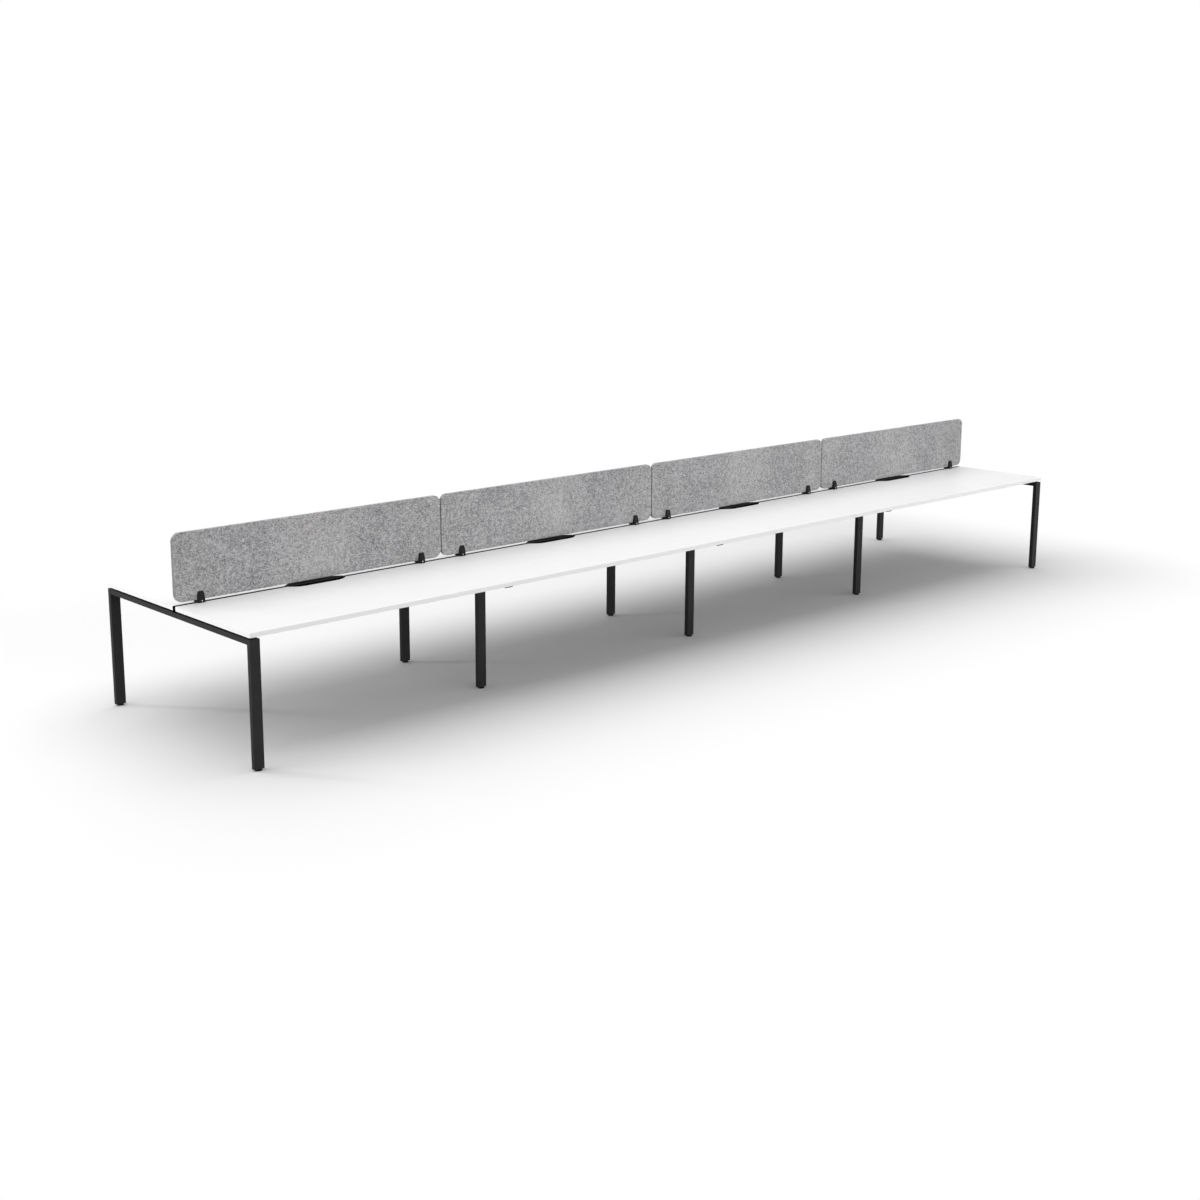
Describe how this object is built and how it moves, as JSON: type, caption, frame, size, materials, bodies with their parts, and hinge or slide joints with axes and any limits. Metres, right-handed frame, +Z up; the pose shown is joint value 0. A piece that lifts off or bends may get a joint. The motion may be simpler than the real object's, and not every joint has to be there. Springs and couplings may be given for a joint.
{
  "type": "double-sided bench desk",
  "caption": "Long double-sided bench desk: thin floating worktops back to back on slim dark tube frames, with low felt screens in black brackets along the middle gap and cable trays below",
  "frame": {"origin": "on the floor under the middle of the bench, midway between the rows and between the ends", "axes": "+X along the bench, +Y from the front row to the back row, +Z up"},
  "size_m": [7.2, 1.54, 1.126],
  "materials": {
    "white_laminate": "satin white melamine on chipboard",
    "graphite_paint": "fine-textured graphite powder coat",
    "black_paint": "matt black powder coat",
    "black_plastic": "fine-grained moulded black",
    "grey_felt": "heather grey felt"
  },
  "bodies": {
    "bench": {"left_end_beam": "graphite_paint", "left_end_front_leg": "graphite_paint", "left_end_back_leg": "graphite_paint", "middle_1_beam": "graphite_paint", "middle_1_front_leg": "graphite_paint", "middle_1_back_leg": "graphite_paint", "middle_2_beam": "graphite_paint", "middle_2_front_leg": "graphite_paint", "middle_2_back_leg": "graphite_paint", "middle_3_beam": "graphite_paint", "middle_3_front_leg": "graphite_paint", "middle_3_back_leg": "graphite_paint", "right_end_beam": "graphite_paint", "right_end_front_leg": "graphite_paint", "right_end_back_leg": "graphite_paint", "front_worktop_1": "white_laminate", "front_rail_1": "graphite_paint", "back_worktop_1": "white_laminate", "back_rail_1": "graphite_paint", "cable_tray_1": "black_paint", "screen_1": "grey_felt", "screen_1_left_bracket": "black_plastic", "screen_1_right_bracket": "black_plastic", "front_worktop_2": "white_laminate", "front_rail_2": "graphite_paint", "back_worktop_2": "white_laminate", "back_rail_2": "graphite_paint", "cable_tray_2": "black_paint", "screen_2": "grey_felt", "screen_2_left_bracket": "black_plastic", "screen_2_right_bracket": "black_plastic", "front_worktop_3": "white_laminate", "front_rail_3": "graphite_paint", "back_worktop_3": "white_laminate", "back_rail_3": "graphite_paint", "cable_tray_3": "black_paint", "screen_3": "grey_felt", "screen_3_left_bracket": "black_plastic", "screen_3_right_bracket": "black_plastic", "front_worktop_4": "white_laminate", "front_rail_4": "graphite_paint", "back_worktop_4": "white_laminate", "back_rail_4": "graphite_paint", "cable_tray_4": "black_paint", "screen_4": "grey_felt", "screen_4_left_bracket": "black_plastic", "screen_4_right_bracket": "black_plastic", "spine_1": "black_paint", "spine_2": "black_paint"},
    "left_end_front_foot_body": {"left_end_front_foot": "black_plastic"},
    "left_end_back_foot_body": {"left_end_back_foot": "black_plastic"},
    "middle_1_front_foot_body": {"middle_1_front_foot": "black_plastic"},
    "middle_1_back_foot_body": {"middle_1_back_foot": "black_plastic"},
    "middle_2_front_foot_body": {"middle_2_front_foot": "black_plastic"},
    "middle_2_back_foot_body": {"middle_2_back_foot": "black_plastic"},
    "middle_3_front_foot_body": {"middle_3_front_foot": "black_plastic"},
    "middle_3_back_foot_body": {"middle_3_back_foot": "black_plastic"},
    "right_end_front_foot_body": {"right_end_front_foot": "black_plastic"},
    "right_end_back_foot_body": {"right_end_back_foot": "black_plastic"}
  },
  "joints": [
    {"name": "left_end_front_foot_level", "type": "slide", "parent": "bench", "child": "left_end_front_foot_body", "axis": [0, 0, -1], "range_m": [0, 0.015]},
    {"name": "left_end_back_foot_level", "type": "slide", "parent": "bench", "child": "left_end_back_foot_body", "axis": [0, 0, -1], "range_m": [0, 0.015]},
    {"name": "middle_1_front_foot_level", "type": "slide", "parent": "bench", "child": "middle_1_front_foot_body", "axis": [0, 0, -1], "range_m": [0, 0.015]},
    {"name": "middle_1_back_foot_level", "type": "slide", "parent": "bench", "child": "middle_1_back_foot_body", "axis": [0, 0, -1], "range_m": [0, 0.015]},
    {"name": "middle_2_front_foot_level", "type": "slide", "parent": "bench", "child": "middle_2_front_foot_body", "axis": [0, 0, -1], "range_m": [0, 0.015]},
    {"name": "middle_2_back_foot_level", "type": "slide", "parent": "bench", "child": "middle_2_back_foot_body", "axis": [0, 0, -1], "range_m": [0, 0.015]},
    {"name": "middle_3_front_foot_level", "type": "slide", "parent": "bench", "child": "middle_3_front_foot_body", "axis": [0, 0, -1], "range_m": [0, 0.015]},
    {"name": "middle_3_back_foot_level", "type": "slide", "parent": "bench", "child": "middle_3_back_foot_body", "axis": [0, 0, -1], "range_m": [0, 0.015]},
    {"name": "right_end_front_foot_level", "type": "slide", "parent": "bench", "child": "right_end_front_foot_body", "axis": [0, 0, -1], "range_m": [0, 0.015]},
    {"name": "right_end_back_foot_level", "type": "slide", "parent": "bench", "child": "right_end_back_foot_body", "axis": [0, 0, -1], "range_m": [0, 0.015]}
  ]
}
